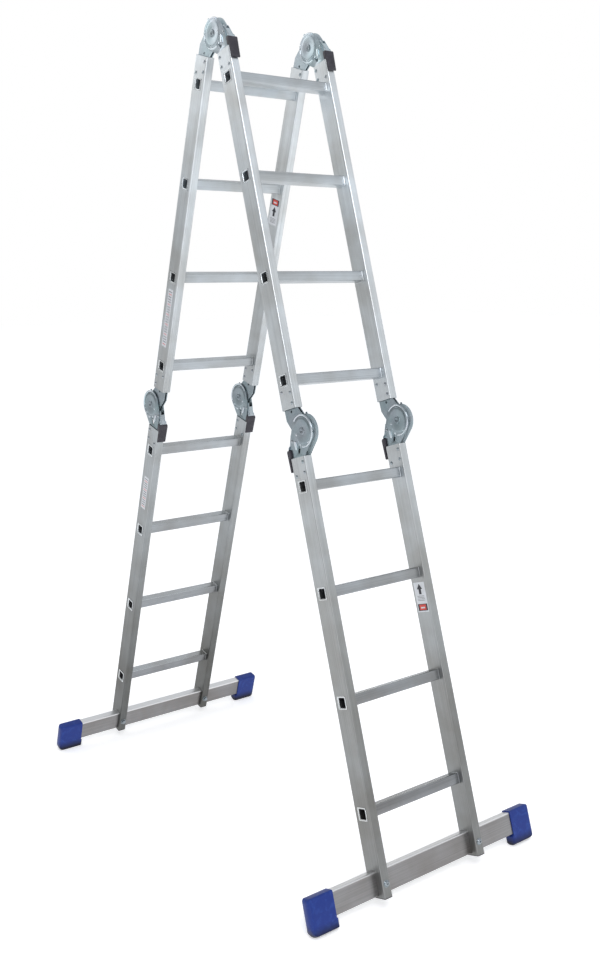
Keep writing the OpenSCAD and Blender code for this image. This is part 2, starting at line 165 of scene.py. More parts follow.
# The camera stands at head height, off the front ladder's left corner. Its turn, dip and
# roll are in degrees.
camera_place = (-1.8994, -2.6802, 1.5803)
camera_turn, camera_dip, camera_roll = -38.885, 7.476, -0.212
camera_data = bpy.data.cameras.new("camera")
camera = bpy.data.objects.new("camera", camera_data)
camera_data.sensor_fit = "AUTO"
camera_data.sensor_width = 36
camera_data.lens = 36 * 1119.5 / 967
camera_data.shift_x = -0.0397
camera_data.shift_y = -0.0658
camera.matrix_world = (
    Matrix.Translation(camera_place)
    @ Matrix.Rotation(math.radians(camera_turn), 4, "Z")
    @ Matrix.Rotation(math.radians(90 - camera_dip), 4, "X")
    @ Matrix.Rotation(math.radians(camera_roll), 4, "Z")
)
scene.collection.objects.link(camera)
scene.camera = camera

# ---- Stiles ----------------------------------------------------------------------------
# Each section stands between two stiles: extruded aluminium box tube with rounded corners,
# left mill finished, so the drawing lines of the die run along it. The metal is painted
# darker towards the feet and lighter towards the top: painted shade and painted light from above.
tilt = math.radians(16.6)
# Heights between which bare metal and zinc are painted from shade near the floor to light high up.
floor_tone_z, bright_tone_z = 0.25, 1.9


def drawn_metal(name, lean, grain, shaded_tone, bright, roughness, line_depth=0.05):
    """Bare metal with drawing lines along it, painted from a shaded tone near the floor to a lit tone
    high up. Grain is the size of a line in metres, on each axis.
    """
    material, shader, place = new_material(name, roughness, metallic=1.0)
    along = add_node(material, "ShaderNodeMapping", Rotation=(lean, 0, 0), Scale=grain)
    along.vector_type = "TEXTURE"
    link(material, place, along.inputs["Vector"])
    lines = add_node(material, "ShaderNodeTexNoise", Scale=1.0, Detail=4.0, Roughness=0.6)
    link(material, along.outputs["Vector"], lines.inputs["Vector"])
    clouds = add_node(material, "ShaderNodeTexNoise", Scale=9.0, Detail=3.0)
    link(material, place, clouds.inputs["Vector"])
    height = add_node(material, "ShaderNodeSeparateXYZ")
    link(material, place, height.inputs["Vector"])
    # Painted shade: the colour darkens from the lit tone at the top to the shaded tone at the floor.
    rise = add_node(
        material, "ShaderNodeMapRange", From_Min=floor_tone_z, From_Max=bright_tone_z
    )
    link(material, height.outputs["Z"], rise.inputs["Value"])
    tone = two_tones(material, rise.outputs["Result"], shaded_tone, bright, 0.0, 1.0)
    # The painted shade tone, multiplied by a random mottle.
    painted_shade = add_node(material, "ShaderNodeMix")
    painted_shade.data_type, painted_shade.blend_type = "RGBA", "MULTIPLY"
    painted_shade.inputs["Factor"].default_value = 1.0
    link(material, tone, painted_shade.inputs["A"])
    link(
        material,
        two_tones(material, clouds.outputs["Fac"], (0.8, 0.79, 0.76), (0.98, 1, 1), 0.34, 0.64),
        painted_shade.inputs["B"],
    )
    lined = add_node(material, "ShaderNodeMix")
    lined.data_type, lined.blend_type = "RGBA", "MULTIPLY"
    lined.inputs["Factor"].default_value = 1.0
    link(material, painted_shade.outputs["Result"], lined.inputs["A"])
    link(
        material,
        two_tones(material, lines.outputs["Fac"], (0.8, 0.81, 0.82), (1, 1, 1), 0.36, 0.62),
        lined.inputs["B"],
    )
    link(material, lined.outputs["Result"], shader.inputs["Base Color"])
    gloss = add_node(
        material, "ShaderNodeMapRange", To_Min=roughness - 0.07, To_Max=roughness + 0.08
    )
    link(material, lines.outputs["Fac"], gloss.inputs["Value"])
    link(material, gloss.outputs["Result"], shader.inputs["Roughness"])
    relief = add_node(material, "ShaderNodeBump", Strength=line_depth, Distance=0.001)
    link(material, lines.outputs["Fac"], relief.inputs["Height"])
    link(material, relief.outputs["Normal"], shader.inputs["Normal"])
    return material


def finish_cad(node, material):
    """Gives a CAD node that keeps its own mesh its real finish."""
    piece = frame["nodes"][node]
    piece.data.materials.clear()
    piece.data.materials.append(material)


leans = {"front": -tilt, "rear": tilt}
# The rear ladder's low tone is darker than the front's: painted shade on the rear stiles, which face
# away from the light.
mill_tones = {
    "front": ((0.28, 0.28, 0.278), (0.8, 0.83, 0.86)),
    "rear": ((0.16, 0.16, 0.157), (0.78, 0.81, 0.84)),
}
for ladder, lean in leans.items():
    shaded_tone, bright = mill_tones[ladder]
    mill = drawn_metal(f"{ladder}_stile_mill", lean, (0.0016, 0.0016, 0.5), shaded_tone, bright, 0.36)
    for section in ("upper", "lower"):
        for side in ("left", "right"):
            finish_cad(f"{ladder}_{section}_{side}_stile", mill)

# ---- Rungs -----------------------------------------------------------------------------
# A rung is a square aluminium tube with four grooves along its tread. Its ends pass
# through both stiles and are flared over them in a press, and a bead is upset on the
# inside, so that the stile is clamped between the bead and the flare.
millimetres = Matrix.Scale(0.001, 4)
mirror_y = Matrix.Scale(-1, 4, (0, 1, 0))
joints = {joint["name"]: joint for joint in frame["joints"]}
front_place = Matrix.Translation(joints["top_fold"]["pos_m"]) @ Matrix.Rotation(-tilt, 4, "X")
ladders = {"front": front_place, "rear": mirror_y @ front_place}
middle = ladders["front"].inverted() @ Vector(joints["front_fold"]["pos_m"])
stile_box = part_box("front_upper_left_stile")
ladder_half = -stile_box[0].x * 1000
stile_w = (stile_box[1].x - stile_box[0].x) * 1000
rung_side, rung_wall, rung_pitch, hinge_to_rung, stile_n = 28, 1.6, 280, 141, 37


def arc(centre, radius, start, end, steps):
    """Points along an arc, in degrees, both ends included."""
    turns = [math.radians(start + (end - start) * k / steps) for k in range(steps + 1)]
    return [(centre[0] + radius * math.cos(a), centre[1] + radius * math.sin(a)) for a in turns]


def loft(rings):
    """A skin over closed rings of equal count."""
    mesh = bmesh.new()
    hoops = []
    for ring in rings:
        verts = [mesh.verts.new(point) for point in ring]
        hoops.append([mesh.edges.new((verts[k - 1], verts[k])) for k in range(len(verts))])
    for hoop, following in zip(hoops, hoops[1:]):
        bmesh.ops.bridge_loops(mesh, edges=hoop + following)
    bmesh.ops.recalc_face_normals(mesh, faces=mesh.faces)
    return mesh


def rung_ring(x, side, groove=0.0):
    """The rung's outline at one station: a rounded square, with its tread grooves this deep."""
    half, corner = side / 2, 3
    flat = half - corner
    ring = []
    for quarter, (y, z) in enumerate(((flat, flat), (-flat, flat), (-flat, -flat), (flat, -flat))):
        ring += arc((y, z), corner, 90 * quarter, 90 * quarter + 90, 4)
        if quarter == 0:
            for y in (9, 3, -3, -9):
                cut = [(1.2, 0), (0.7, groove), (-0.7, groove), (-1.2, 0)]
                ring += [((y + dy) * flat / 11, half - depth) for dy, depth in cut]
    return [(x, y, z) for y, z in ring]


def rung_shape():
    """One rung, from its middle to its flared end and back along the bore, then mirrored."""
    inner_face = ladder_half - stile_w
    bore = rung_side - 2 * rung_wall
    stations = [
        (0, rung_side, 0.7), (inner_face - 12, rung_side, 0.7), (inner_face - 7, rung_side, 0),
        (inner_face - 2.6, rung_side, 0), (inner_face - 1.9, 29.2, 0), (inner_face - 1.1, 29.8, 0),
        (inner_face - 0.4, 29.6, 0), (inner_face - 0.1, 28.8, 0), (inner_face + 0.6, rung_side, 0),
        (ladder_half - 0.5, rung_side, 0), (ladder_half + 0.1, 29.4, 0), (ladder_half + 0.15, 33.2, 0),
        (ladder_half + 0.6, 34, 0), (ladder_half + 1.05, 33.3, 0), (ladder_half + 1.2, 31.6, 0),
        (ladder_half + 1.1, 29, 0), (ladder_half + 0.7, 27, 0), (ladder_half - 0.4, 25.6, 0),
        (ladder_half - 2.5, bore, 0), (0, bore, 0),
    ]
    mesh = loft([rung_ring(*station) for station in stations])
    whole = mesh.verts[:] + mesh.edges[:] + mesh.faces[:]
    bmesh.ops.mirror(mesh, geom=whole, axis="X", merge_dist=0.001)
    bmesh.ops.recalc_face_normals(mesh, faces=mesh.faces)
    for face in mesh.faces:
        middle_point = face.calc_center_median()
        if abs(middle_point.x) > ladder_half - 0.4:
            face.material_index = 2
        elif face.normal.z > 0.6 and middle_point.z > 0:
            face.material_index = 1
    return mesh


def copies(shapes):
    """One mesh with each shape at its place. A mirrored place has its faces turned out again."""
    made = bmesh.new()
    for shape, place in shapes:
        data = bpy.data.meshes.new("copy")
        shape.to_mesh(data)
        data.transform(place @ millimetres)
        if place.determinant() < 0:
            data.flip_normals()
        made.from_mesh(data)
        bpy.data.meshes.remove(data)
    return made


def settle(name, mesh, materials, body, nodes=(), sharp=35):
    """Makes the finished piece, smooth but for its sharp edges, and rides it on its body."""
    data = bpy.data.meshes.new(name)
    mesh.to_mesh(data)
    mesh.free()
    data.polygons.foreach_set("use_smooth", [True] * len(data.polygons))
    data.set_sharp_from_angle(angle=math.radians(sharp))
    for material in materials:
        data.materials.append(material)
    piece = bpy.data.objects.new(name, data)
    scene.collection.objects.link(piece)
    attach(piece, body)
    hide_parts(*nodes)
    return piece


rung = rung_shape()
section_rungs = {"upper": hinge_to_rung, "lower": -middle.z * 1000 + hinge_to_rung}
for ladder, lean in leans.items():
    along_rung = (0.35, 0.0012, 0.0012)
    rung_mill = drawn_metal(
        f"{ladder}_rung_mill", lean, along_rung, (0.3, 0.305, 0.32), (0.58, 0.61, 0.64), 0.33
    )
    tread_mill = drawn_metal(
        f"{ladder}_tread_mill", lean, along_rung, (0.72, 0.73, 0.74), (0.76, 0.78, 0.8), 0.24
    )
    flare_mill = drawn_metal(
        f"{ladder}_flare_mill", lean, (0.004, 0.004, 0.004), (0.72, 0.74, 0.76), (0.68, 0.7, 0.72), 0.22
    )
    for section, first in section_rungs.items():
        places = [
            ladders[ladder] @ Matrix.Translation((0, -stile_n / 1000, -(first + k * rung_pitch) / 1000))
            for k in range(4)
        ]
        settle(
            f"{ladder}_{section}_flared_rungs", copies([(rung, place) for place in places]),
            [rung_mill, tread_mill, flare_mill],
            f"{ladder}_{section}_section", [f"{ladder}_{section}_rungs"],
        )

# ---- Hinge outer halves ----------------------------------------------------------------
# The outer half of each hinge is a pair of pressed steel cheeks, zinc plated to a pale blue.
# The press dishes the disc, rolls its free rim and pushes a stud and a stop up in the face;
# the tail goes into the end of the stile with spacers behind it and is riveted there.
sides = {"left": -1, "right": 1}
stile_x = ladder_half - stile_w / 2
hinge_bodies = {
    "top": "front_upper_section", "front": "front_lower_section", "rear": "rear_lower_section"
}
cheek_r, cheek_x0, cheek_x1 = 44, 7.7, 10
lever_pin, ear_r = (51, 19), 7
stile_gap, tail_end = 64, 124
near_w = 9
slot_angle, slot_half, lock_rest = 61, 4.15, 40
rivet_places = ((17, 78), (17, 106), (54, 112))
tail_x = stile_w / 2 - 1.6


def hinge_place(hinge, side):
    """Where a hinge's outer half stands: there [across, along] is at y, z = -across, -along."""
    stile = Matrix.Translation((sides[side] * stile_x / 1000, 0, 0))
    if hinge == "top":
        return ladders["front"] @ stile
    return ladders[hinge] @ Matrix.Translation(middle) @ mirror_y @ stile


def touch_angle(point, centre, radius, side):
    """The angle on a circle at which a line from the point touches it."""
    across, along = point[0] - centre[0], point[1] - centre[1]
    reach = math.acos(radius / math.hypot(across, along))
    return math.degrees(math.atan2(along, across) + side * reach)


def plate(x0, x1, outline, holes=(), soften=0.0, soft_faces=(0, 1)):
    """A flat plate between two distances along X, from [across, along] outlines, with softened edges."""
    mesh = bmesh.new()
    rims = []
    for points in (outline, *holes):
        verts = [mesh.verts.new((x0, -across, -along)) for across, along in points]
        rims += [mesh.edges.new((verts[k - 1], verts[k])) for k in range(len(verts))]
    bmesh.ops.triangle_fill(mesh, use_beauty=True, edges=rims)
    grown = bmesh.ops.extrude_face_region(mesh, geom=mesh.faces[:])
    moved = [v for v in grown["geom"] if isinstance(v, bmesh.types.BMVert)]
    bmesh.ops.translate(mesh, verts=moved, vec=(x1 - x0, 0, 0))
    bmesh.ops.recalc_face_normals(mesh, faces=mesh.faces)
    if soften:
        wanted = [(x0, x1)[k] for k in soft_faces]
        edges = [
            e for e in mesh.edges
            if len(e.link_faces) == 2 and e.calc_face_angle() > 1
            and any(all(abs(v.co.x - x) < 0.001 for v in e.verts) for x in wanted)
        ]
        bmesh.ops.bevel(
            mesh, geom=edges, offset=soften, affect="EDGES", segments=2, profile=0.5,
            material=-1, clamp_overlap=True,
        )
    return mesh


def turned(outline, steps=28):
    """A shape turned on the X axis from its [radius, distance] outline, pole to pole."""
    mesh = bmesh.new()
    verts = [mesh.verts.new((x, 0, radius)) for radius, x in outline]
    edges = [mesh.edges.new(pair) for pair in zip(verts, verts[1:])]
    bmesh.ops.spin(
        mesh, geom=verts + edges, cent=(0, 0, 0), axis=(1, 0, 0), angle=2 * math.pi,
        steps=steps, use_merge=True,
    )
    bmesh.ops.remove_doubles(mesh, verts=mesh.verts, dist=0.0001)
    bmesh.ops.recalc_face_normals(mesh, faces=mesh.faces)
    return mesh


def mirrored(outline):
    """A turned outline that runs from its +X pole to the middle, carried on to the -X pole."""
    return outline + [(radius, -x) for radius, x in reversed(outline)]


def at(across, along, shape):
    """The shape moved to a place given as [across, along]."""
    bmesh.ops.translate(shape, verts=shape.verts, vec=(0, -across, -along))
    return shape


def joined(parts):
    """Several shapes as one mesh, each kept in millimetres."""
    made = bmesh.new()
    for part in parts:
        data = bpy.data.meshes.new("part")
        part.to_mesh(data)
        part.free()
        made.from_mesh(data)
        bpy.data.meshes.remove(data)
    return made


def cheek_outline():
    """A cheek's rim: the disc, the ear for the lever pin and the tail."""
    ear = math.degrees(
        math.atan2(lever_pin[1], lever_pin[0]) - math.acos((cheek_r - ear_r) / math.hypot(*lever_pin))
    )
    corner, inner_corner = (61, stile_gap), (7.5, stile_gap)
    disc_start = touch_angle(inner_corner, (0, 0), cheek_r, 1)
    return (
        arc((0, 0), cheek_r, disc_start, ear + 360, 56)
        + arc(lever_pin, ear_r, ear, touch_angle(corner, lever_pin, ear_r, -1), 6)[1:]
        + [corner, (61, tail_end), (near_w, tail_end), (near_w, stile_gap + 1), inner_corner]
    )


def slot_outline():
    """The lock pin's slot, along a radius of the disc."""
    turn = math.radians(slot_angle)
    near, far = ((r * math.cos(turn), r * math.sin(turn)) for r in (lock_rest, lock_rest + 18))
    return (
        arc(far, slot_half, slot_angle - 90, slot_angle + 90, 8)
        + arc(near, slot_half, slot_angle + 90, slot_angle + 270, 8)
    )


def rolled_rim():
    """The rim's bead, round the free part of the disc."""
    mesh = bmesh.new()
    bead = [(cheek_x1 + 1.5 * math.sin(a), cheek_r - 2.6 + 2.5 * math.cos(a))
            for a in (math.pi * k / 6 for k in range(7))]
    turn = Matrix.Rotation(math.radians(-138), 4, "X")
    verts = [mesh.verts.new(turn @ Vector((x, 0, -r))) for x, r in bead]
    face = mesh.faces.new(verts)
    bmesh.ops.spin(
        mesh, geom=[face, *face.verts, *face.edges], cent=(0, 0, 0), axis=(1, 0, 0),
        angle=math.radians(-236), steps=44, use_merge=False,
    )
    bmesh.ops.remove_doubles(mesh, verts=mesh.verts, dist=0.0001)
    bmesh.ops.recalc_face_normals(mesh, faces=mesh.faces)
    return mesh


def lug_outline():
    """A long oval lug that stiffens the cheek between the slot and the ear, made in the lighter zinc as
    a painted highlight.
    """
    return arc((38, 24), 4, 190, 370, 8) + arc((36, 40), 4.6, 10, 190, 8)


def cheek():
    """The cheek on the +X side."""
    dish = turned([
        (0, cheek_x1 + 0.4), (13, cheek_x1 + 0.4), (16, cheek_x1 + 0.8), (28, cheek_x1 + 1.3),
        (31, cheek_x1 + 1.35), (33.4, cheek_x1 + 1.0), (35.6, cheek_x1 - 0.1), (0, cheek_x1 - 0.1),
    ], 48)
    stud = [(0, 1.5), (1.6, 1.3), (2.8, 0.8), (3.5, -0.1), (0, -0.1)]
    stop = [(-13, -41), (-12, -46.5), (-9.5, -47.5), (-6, -47.2), (-5, -42.5)]
    # The rolled rim, the studs and the lug take the lighter zinc: a painted highlight on the pressed
    # cheek.
    bright = [
        rolled_rim(),
        at(26, 6, turned([(r, x + cheek_x1 + 1.1) for r, x in stud], 20)),
        at(-17, 32, turned([(r, x + cheek_x1) for r, x in stud], 20)),
        plate(cheek_x1 - 0.1, cheek_x1 + 1.6, lug_outline(), soften=1.2, soft_faces=(1,)),
    ]
    for part in bright:
        for face in part.faces:
            face.material_index = 1
    pressing = plate(cheek_x0, cheek_x1, cheek_outline(), [slot_outline()], soften=0.5)
    # The inner faces take a paler, less metallic zinc: painted light in the shaded gap between the
    # cheeks.
    for face in pressing.faces:
        if face.normal.x < -0.5:
            face.material_index = 2
    parts = [
        pressing,
        plate(cheek_x0 + 0.3, cheek_x1 - 0.3, stop, soften=0.4),
        dish,
        *bright,
    ]
    spacer = [
        (0, tail_x), (6.2, tail_x), (6.5, tail_x - 0.3), (6.5, cheek_x1 - 0.2), (0, cheek_x1 - 0.2),
    ]
    for across, along in rivet_places:
        parts.append(at(across, along, turned(spacer, 24)))
    return joined(parts)


def both_cheeks():
    """The two cheeks, held apart in the tail by spacers."""
    near = cheek()
    far = near.copy()
    bmesh.ops.scale(far, vec=(-1, 1, 1), verts=far.verts)
    bmesh.ops.reverse_faces(far, faces=far.faces)
    through = [(0, cheek_x0 + 0.2), (5.5, cheek_x0 + 0.2), (5.5, 0)]
    inside = [at(a, b, turned(mirrored(through), 20)) for a, b in rivet_places]
    return joined([near, far, *inside])


def zinc_plate(name, deep, pale, roughness):
    """Zinc plating passivated pale blue: cloudy, with faint yellow and violet patches, and painted shade
    that darkens it from its pale tone high up to its deep tone near the floor.
    """
    material, shader, place = new_material(name, roughness, metallic=1.0)
    clouds = add_node(material, "ShaderNodeTexNoise", Scale=38.0, Detail=5.0, Roughness=0.6)
    tint = add_node(material, "ShaderNodeTexNoise", Scale=17.0, Detail=2.0, Distortion=0.6)
    spangle = add_node(material, "ShaderNodeTexNoise", Scale=900.0, Detail=2.0)
    height = add_node(material, "ShaderNodeSeparateXYZ")
    for node in (clouds, tint, spangle, height):
        link(material, place, node.inputs["Vector"])
    # Painted shade: the zinc darkens towards the floor.
    rise = add_node(
        material, "ShaderNodeMapRange", From_Min=floor_tone_z, From_Max=bright_tone_z + 0.2
    )
    link(material, height.outputs["Z"], rise.inputs["Value"])
    tone = two_tones(material, rise.outputs["Result"], deep, pale, 0.0, 1.0)
    patch = two_tones(material, tint.outputs["Fac"], (0.93, 1.0, 1.0), (1.0, 0.97, 0.99), 0.35, 0.65)
    cloud = two_tones(material, clouds.outputs["Fac"], (0.8, 0.83, 0.85), (1, 1, 1), 0.3, 0.62)
    for layer in (patch, cloud):
        mix = add_node(material, "ShaderNodeMix")
        mix.data_type, mix.blend_type = "RGBA", "MULTIPLY"
        mix.inputs["Factor"].default_value = 1.0
        link(material, tone, mix.inputs["A"])
        link(material, layer, mix.inputs["B"])
        tone = mix.outputs["Result"]
    link(material, tone, shader.inputs["Base Color"])
    gloss = add_node(
        material, "ShaderNodeMapRange", To_Min=roughness - 0.08, To_Max=roughness + 0.12
    )
    link(material, clouds.outputs["Fac"], gloss.inputs["Value"])
    link(material, gloss.outputs["Result"], shader.inputs["Roughness"])
    relief = add_node(material, "ShaderNodeBump", Strength=0.05, Distance=0.0004)
    link(material, spangle.outputs["Fac"], relief.inputs["Height"])
    link(material, relief.outputs["Normal"], shader.inputs["Normal"])
    return material


cheek_zinc = zinc_plate("cheek_zinc", (0.07, 0.1, 0.11), (0.5, 0.56, 0.59), 0.29)
# A lighter zinc: a painted highlight on the cheeks' rim, studs and lug, and the lock pins' zinc.
highlight_and_pin_zinc = zinc_plate("highlight_and_pin_zinc", (0.5, 0.53, 0.56), (0.68, 0.73, 0.76), 0.2)
# Paler, half metallic zinc for the cheeks' inner faces: painted light in the shaded gap between them.
painted_gap_light_zinc = zinc_plate("painted_gap_light_zinc", (0.46, 0.52, 0.54), (0.5, 0.56, 0.58), 0.5)
painted_gap_light_zinc.node_tree.nodes["Principled BSDF"].inputs["Metallic"].default_value = 0.25
cheeks = both_cheeks()
for hinge, body in hinge_bodies.items():
    for side in sides:
        settle(
            f"{hinge}_{side}_pressed_cheeks", copies([(cheeks, hinge_place(hinge, side))]),
            [cheek_zinc, highlight_and_pin_zinc, painted_gap_light_zinc], body,
            [f"{hinge}_{side}_hinge_outer_half"],
        )

# ---- Hinge inner halves ----------------------------------------------------------------
# The inner half runs between the cheeks: a thick notched locking disc with a flat zinc
# plated plate on each face, whose tail is riveted in the end of the next stile.
plate_zinc = zinc_plate("plate_zinc", (0.07, 0.095, 0.105), (0.46, 0.52, 0.55), 0.31)
plate_zinc.node_tree.nodes["Principled BSDF"].inputs["Metallic"].default_value = 0.8
for hinge in hinge_bodies:
    for side in sides:
        finish_cad(f"{hinge}_{side}_hinge_inner_half", plate_zinc)

# ---- Pivot rivets ----------------------------------------------------------------------
# A steel pin 16 mm thick holds the halves of each hinge together and lets them turn. Its
# ends are spun over the cheeks, which leaves a dished head with a raised ring.
pivot_steel = zinc_plate("pivot_steel", (0.2, 0.23, 0.25), (0.3, 0.34, 0.36), 0.26)
pivot_shape = turned(mirrored([
    (0, 10.9), (3.6, 10.9), (4.4, 11.4), (5.2, 12.1), (6.6, 12.5), (8.6, 12.2), (10, 11.5),
    (10.9, 10.6), (11, 10.4), (8, 10.4), (8, 0),
]), 36)
for hinge, body in hinge_bodies.items():
    settle(
        f"{hinge}_spun_pivots", copies([(pivot_shape, hinge_place(hinge, side)) for side in sides]),
        [pivot_steel], body, [f"{hinge}_hinge_pivot_rivets"],
    )

# ---- Release levers --------------------------------------------------------------------
# Each hinge is unlocked by a lever pressed from sheet steel into a channel. Two prongs stand
# beside the disc, the walls turn on a pin in the cheeks' ears, and a hook on each wall draws
# the lock pin out of the disc's notch. Wings at the grip's end spread it to the stile's width.
lever_x0, lever_x1 = 5.8, 7.3
lock_place = tuple(
    lock_rest * turn for turn in (math.cos(math.radians(slot_angle)), math.sin(math.radians(slot_angle)))
)


def lever_wall():
    """The wall on the +X side, with the hole for the lock pin in its hook."""
    hook_r, heel = 7.5, (60, 44)
    outline = (
        arc((53, 4.5), 4, 180, 345, 10)
        + arc((66, 37), 5, -18, -2, 3)
        + [(73, 95), (72, 96), (69.4, 96), (69.4, 60), heel]
        + arc(lock_place, hook_r, touch_angle(heel, lock_place, hook_r, 1),
              touch_angle((48, 24), lock_place, hook_r, -1) + 360, 18)
        + [(48, 24), (46, 13)]
    )
    pin_hole = arc(lock_place, 4.9, 0, 345, 23)
    return plate(lever_x0, lever_x1, outline, [pin_hole], soften=0.45, soft_faces=(1,))


def lever_shape():
    """The whole channel: both walls, the web at their back and the wings."""
    near = lever_wall()
    far = near.copy()
    bmesh.ops.scale(far, vec=(-1, 1, 1), verts=far.verts)
    bmesh.ops.reverse_faces(far, faces=far.faces)
    thick = 1.6
    web = plate(-lever_x0, lever_x0, [
        (60.2, 12), (70.9, 37.2), (73, 95), (72, 96), (73 - thick, 96), (70.9 - thick, 38), (58.8, 12.8),
    ])
    wings = plate(-11.8, 11.8, [
        (65.6, 28), (68.8, 33), (70.9, 38), (72.4, 45.5),
        (70.9, 46), (69.3, 38.6), (67.3, 33.8), (64.2, 28.8),
    ], soften=0.5)
    for vert in wings.verts:
        if -vert.co.z < 31:
            vert.co.x *= 0.62
    return joined([near, far, web, wings])


lever_zinc = zinc_plate("lever_zinc", (0.2, 0.24, 0.26), (0.62, 0.67, 0.7), 0.22)
lever = lever_shape()
for hinge in hinge_bodies:
    for side in sides:
        settle(
            f"{hinge}_{side}_pressed_lever", copies([(lever, hinge_place(hinge, side))]), [lever_zinc],
            f"{hinge}_{side}_release", [f"{hinge}_{side}_lever"],
        )

# ---- Lever pads ------------------------------------------------------------------------
# A black moulded grip is pushed over the lower end of each lever: thick where the palm bears
# on it, then a thin tongue along the stile, with ribs down its face for the fingers.


def moulded_plastic(name, colour, scuff, roughness, grain=1400.0):
    """Moulded plastic with a fine spark-eroded grain and a few paler scuffs."""
    material, shader, place = new_material(name, roughness)
    shader.inputs["Specular IOR Level"].default_value = 0.45
    skin = add_node(material, "ShaderNodeTexNoise", Scale=grain, Detail=2.0)
    scuffs = add_node(
        material, "ShaderNodeTexNoise", Scale=45.0, Detail=7.0, Roughness=0.7, Distortion=0.8
    )
    for node in (skin, scuffs):
        link(material, place, node.inputs["Vector"])
    link(
        material,
        two_tones(material, scuffs.outputs["Fac"], colour, scuff, 0.5, 0.78),
        shader.inputs["Base Color"],
    )
    gloss = add_node(
        material, "ShaderNodeMapRange", To_Min=roughness - 0.08, To_Max=roughness + 0.14
    )
    link(material, scuffs.outputs["Fac"], gloss.inputs["Value"])
    link(material, gloss.outputs["Result"], shader.inputs["Roughness"])
    relief = add_node(material, "ShaderNodeBump", Strength=0.12, Distance=0.0003)
    link(material, skin.outputs["Fac"], relief.inputs["Height"])
    link(material, relief.outputs["Normal"], shader.inputs["Normal"])
    return material


grip_x = stile_w / 2 + 0.5


def pad_shape():
    """The grip: its body, with six ribs down the face."""
    outline = (
        [(63.2, 41.5), (64.5, 40.3), (66, 40)] + arc((71, 46.5), 6.0, -64, -4, 6)
        + [(76.8, 54), (76.2, 66), (75, 94)] + arc((72, 96.5), 3, 0, 80, 5)
        + [(71, 99.5), (69.6, 97), (69.6, 64), (68.6, 62.6), (63, 62), (62, 60), (62, 46)]
    )
    body = plate(-grip_x, grip_x, outline, soften=2.4)
    ribs = []
    for x in (-9, -5.4, -1.8, 1.8, 5.4, 9):
        ribs.append(plate(x - 0.7, x + 0.7, [
            (76.4, 54), (77.1, 57), (76.6, 68), (75.5, 91), (74.8, 93.5), (74, 93.5), (75.4, 54),
        ], soften=0.25))
    return joined([body, *ribs])


pad_black = moulded_plastic("pad_black", (0.024, 0.022, 0.03), (0.055, 0.052, 0.065), 0.42)
pad = pad_shape()
for hinge in hinge_bodies:
    for side in sides:
        settle(
            f"{hinge}_{side}_moulded_pad", copies([(pad, hinge_place(hinge, side))]), [pad_black],
            f"{hinge}_{side}_release", [f"{hinge}_{side}_lever_pad"],
        )

# ---- Lock pins -------------------------------------------------------------------------
# A turned steel pin 8 mm thick runs across both cheeks in their slots. Its ends are
# chamfered and still show the centre that it was turned on.
lock_pin = at(*lock_place, turned(mirrored([
    (0, 9.2), (0.9, 9.7), (3.3, 9.9), (4, 9.2), (4, 0),
])))
for hinge in hinge_bodies:
    for side in sides:
        settle(
            f"{hinge}_{side}_turned_lock_pin", copies([(lock_pin, hinge_place(hinge, side))]),
            [highlight_and_pin_zinc], f"{hinge}_{side}_lock", [f"{hinge}_{side}_lock_pin"],
        )

# ---- Lever springs ---------------------------------------------------------------------
# A torsion spring of 1.2 mm wire is wound round each lever pin between the lever's walls.
# One leg bears under the lever's back and pushes it home.
wire_r, coil_r, coil_half = 0.6, 4.2, 3.6


def spring_shape():
    """The coils round the lever pin, and the leg that bears on the lever."""
    coils = bmesh.new()
    section = bmesh.ops.create_circle(coils, segments=10, radius=wire_r)["verts"]
    ring = [edge for edge in coils.edges]
    for axis in "YZ":
        quarter_turn = Matrix.Rotation(math.radians(90), 3, axis)
        bmesh.ops.rotate(coils, verts=section, cent=(0, 0, 0), matrix=quarter_turn)
    bmesh.ops.translate(coils, verts=section, vec=(-coil_half, 0, coil_r))
    turns = 5.25
    steps = 110
    last = bmesh.ops.spin(
        coils, geom=section + ring, cent=(0, 0, 0), axis=(1, 0, 0), angle=math.radians(360 * turns),
        steps=steps, dvec=(2 * coil_half / steps, 0, 0), use_merge=False,
    )["geom_last"]
    end = [item for item in last if isinstance(item, bmesh.types.BMEdge)]
    leg = bmesh.ops.extrude_edge_only(coils, edges=end)["geom"]
    leg_verts = [item for item in leg if isinstance(item, bmesh.types.BMVert)]
    bmesh.ops.translate(coils, verts=leg_verts, vec=(0, -4.6, -16))
    bmesh.ops.holes_fill(coils, edges=[edge for edge in coils.edges if edge.is_boundary], sides=0)
    bmesh.ops.recalc_face_normals(coils, faces=coils.faces)
    return at(*lever_pin, coils)


spring_black = moulded_plastic("spring_oiled_steel", (0.06, 0.06, 0.065), (0.12, 0.11, 0.1), 0.34)
spring_black.node_tree.nodes["Principled BSDF"].inputs["Metallic"].default_value = 0.85
spring = spring_shape()
for hinge, body in hinge_bodies.items():
    settle(
        f"{hinge}_wound_springs", copies([(spring, hinge_place(hinge, side)) for side in sides]),
        [spring_black], body, [f"{hinge}_lever_springs"],
    )

# ---- Rivets, lever pins and bar bolts --------------------------------------------------
# Three domed steel rivets hold each hinge half in its stile, and a headed pin carries each
# lever. An M8 bolt with a plain washer and a nut holds the stabiliser bar in each stile.
face_x = stile_w / 2
rivet = turned(mirrored([
    (0, face_x + 2.2), (2.6, face_x + 1.9), (4.4, face_x + 1), (5.4, face_x + 0.1),
    (3, face_x + 0.02), (3, 0),
]), 12)
lever_rivet = at(*lever_pin, turned(mirrored([
    (0, 11.6), (2.4, 11.3), (4.1, 10.7), (4.9, 10.1), (3, 10.02), (3, 0),
]), 12))
rivet_set = joined([at(across, along, rivet.copy()) for across, along in rivet_places])
bar_s, pivot_offset, stile_d = 2275, 7, 60
upright = Matrix.Rotation(math.radians(90), 4, "Z")


